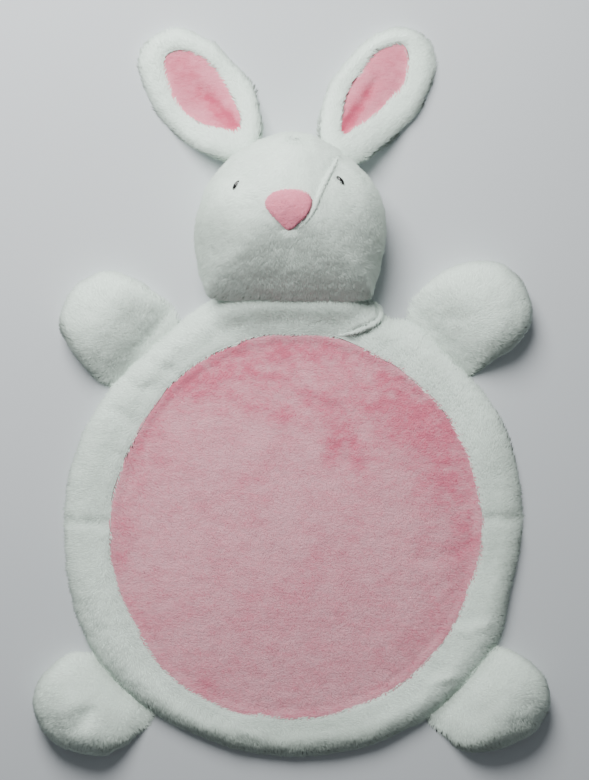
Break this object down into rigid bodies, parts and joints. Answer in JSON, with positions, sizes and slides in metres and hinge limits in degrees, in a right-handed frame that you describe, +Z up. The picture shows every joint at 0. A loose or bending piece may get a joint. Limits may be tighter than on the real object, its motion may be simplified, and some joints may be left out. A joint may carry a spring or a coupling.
{
  "type": "play mat",
  "caption": "Round padded plush baby play mat in the form of a rabbit lying on its back, with a stuffed head, ears, arms and feet.",
  "frame": {"origin": "bottom centre of the whole mat's box, on the surface it lies on", "axes": "+Z up out of the lying face, +Y from the feet towards the ears, +X towards the right-hand side as the face is seen from above"},
  "size_m": [0.743, 1.047, 0.1524],
  "materials": {
    "white_pile": "soft white long-pile plush",
    "pink_pile": "pink short-pile plush, brushed",
    "nose_pile": "pink short-pile plush",
    "eye_gloss": "glossy black"
  },
  "bodies": {
    "root": {"mat_body": "white_pile", "belly_panel": "pink_pile", "head": "white_pile", "nose": "nose_pile", "eye_left": "eye_gloss", "eye_right": "eye_gloss", "ear_left": "white_pile", "ear_right": "white_pile", "ear_lining_left": "pink_pile", "ear_lining_right": "pink_pile", "arm_left": "white_pile", "arm_right": "white_pile", "foot_left": "white_pile", "foot_right": "white_pile"}
  },
  "joints": []
}
